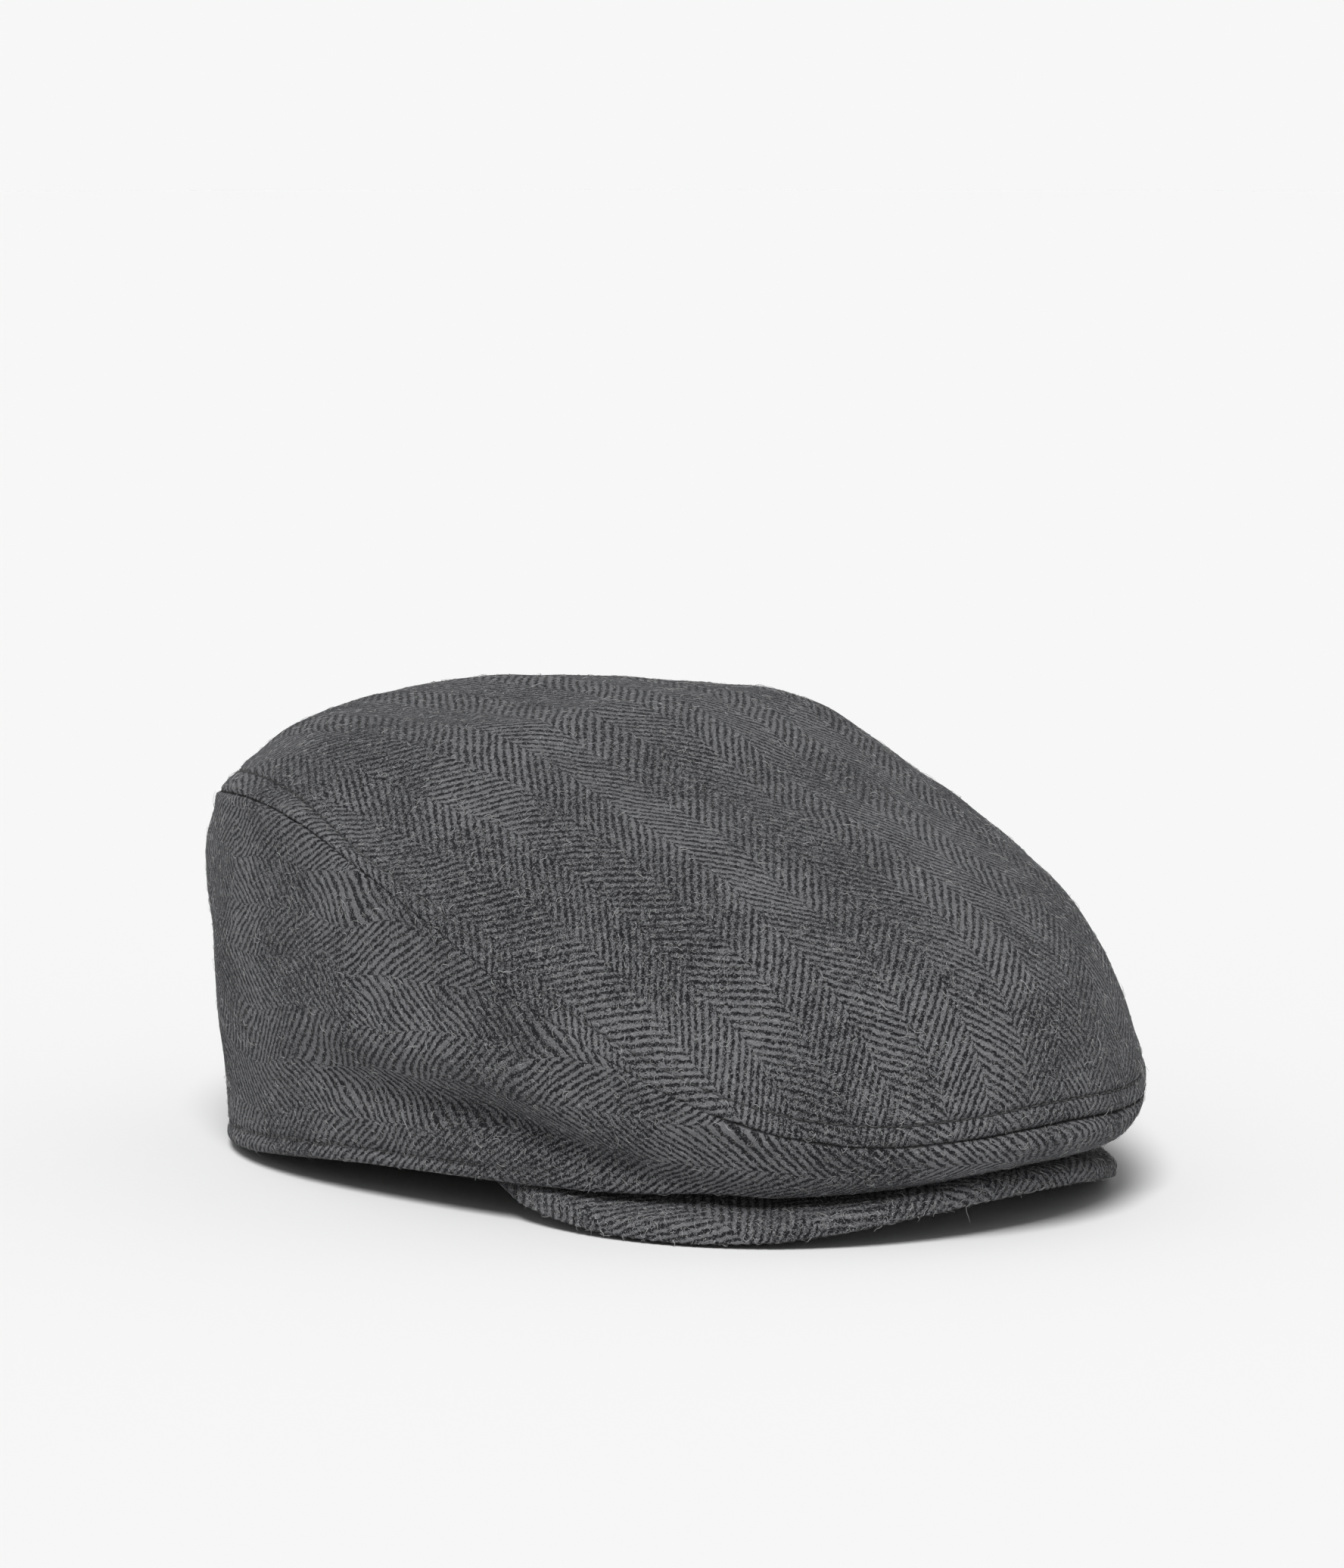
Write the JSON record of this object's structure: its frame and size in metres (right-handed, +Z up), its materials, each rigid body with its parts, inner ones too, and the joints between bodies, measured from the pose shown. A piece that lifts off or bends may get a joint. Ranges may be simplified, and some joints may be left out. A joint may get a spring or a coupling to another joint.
{
  "type": "flat cap",
  "caption": "Soft wool flat cap: a top panel drawn forward over a short curved visor, a side band, a sweatband and a lining.",
  "frame": {"origin": "centre of the head opening, on the surface that the cap stands on", "axes": "+Z up, the visor points to -Y, the wearer's right is -X"},
  "size_m": [0.203, 0.2658, 0.121],
  "materials": {
    "wool": "matte napped herringbone",
    "board": "matte",
    "sweatband": "matte twill",
    "lining": "satin",
    "interlining": "matte",
    "tape": "matte",
    "label": "satin",
    "thread": "satin"
  },
  "bodies": {
    "root": {"crown_top_panel": "wool", "side_band": "wool", "visor_top_cover": "wool", "visor_under_cover": "wool", "visor_board": "board", "sweatband": "sweatband", "lining_top": "lining", "lining_side": "lining", "front_interlining": "interlining", "back_seam_tape": "tape", "size_label": "label", "crown_topstitch": "thread", "hem_topstitch": "thread", "visor_rim_stitch": "thread", "sweatband_stitch": "thread"}
  },
  "joints": []
}
